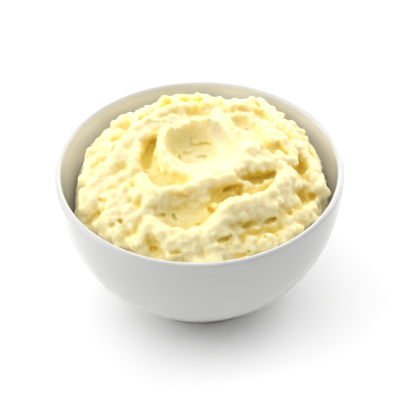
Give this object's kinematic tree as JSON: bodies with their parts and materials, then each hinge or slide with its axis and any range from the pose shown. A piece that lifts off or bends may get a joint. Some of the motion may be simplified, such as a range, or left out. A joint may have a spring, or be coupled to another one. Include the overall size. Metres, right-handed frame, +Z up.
{
  "type": "mashed potato side in a bowl",
  "caption": "Round white glazed bowl heaped with yellow mashed potato, swirled and lumpy from a serving spoon.",
  "frame": {"origin": "middle of the bowl's underside, on the plane that the foot ring stands on", "axes": "+Z up along the bowl's axis; -Y is the front, the side that shows the long front hollow; +X is to the right seen from the front"},
  "size_m": [0.15, 0.15, 0.0939],
  "materials": {
    "bowl_glaze": "glossy",
    "mash": "matte"
  },
  "bodies": {
    "root": {"bowl": "bowl_glaze", "mash": "mash"}
  },
  "joints": []
}
